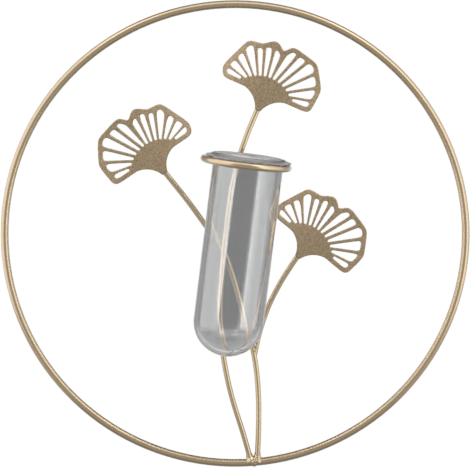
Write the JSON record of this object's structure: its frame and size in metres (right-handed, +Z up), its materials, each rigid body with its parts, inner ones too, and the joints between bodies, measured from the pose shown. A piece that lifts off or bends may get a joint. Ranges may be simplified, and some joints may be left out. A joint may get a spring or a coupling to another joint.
{
  "type": "hanging wall vase",
  "caption": "Round wire hoop to hang on a wall, with pierced ginkgo leaves on wire stems and a glass tube vase that lifts out of a ring on the middle stem.",
  "frame": {"origin": "the point on the inside of the hoop's top where a nail carries it", "axes": "+Z up, -Y out of the wall to the front, +X to the right as seen from the front"},
  "size_m": [0.3, 0.0649, 0.3],
  "materials": {
    "champagne_gold": "satin champagne gold metallic paint",
    "leaf_gold": "champagne gold metallic paint with a fine grain",
    "smoke_glass": "lightly smoked, polished"
  },
  "bodies": {
    "frame": {"hoop": "champagne_gold", "centre_stem": "champagne_gold", "left_stem": "champagne_gold", "right_stem": "champagne_gold", "centre_leaf": "leaf_gold", "left_leaf": "leaf_gold", "right_leaf": "leaf_gold", "holder_ring": "champagne_gold", "foot_weld": "champagne_gold", "branch_weld": "champagne_gold", "ring_weld": "champagne_gold", "centre_leaf_weld": "champagne_gold", "left_leaf_weld": "champagne_gold", "right_leaf_weld": "champagne_gold"},
    "tube": {"glass_tube": "smoke_glass"}
  },
  "joints": [
    {"name": "tube_lift", "type": "slide", "parent": "frame", "child": "tube", "axis": [0.1219, 0, 0.9925], "range_m": [0, 0.13]}
  ]
}
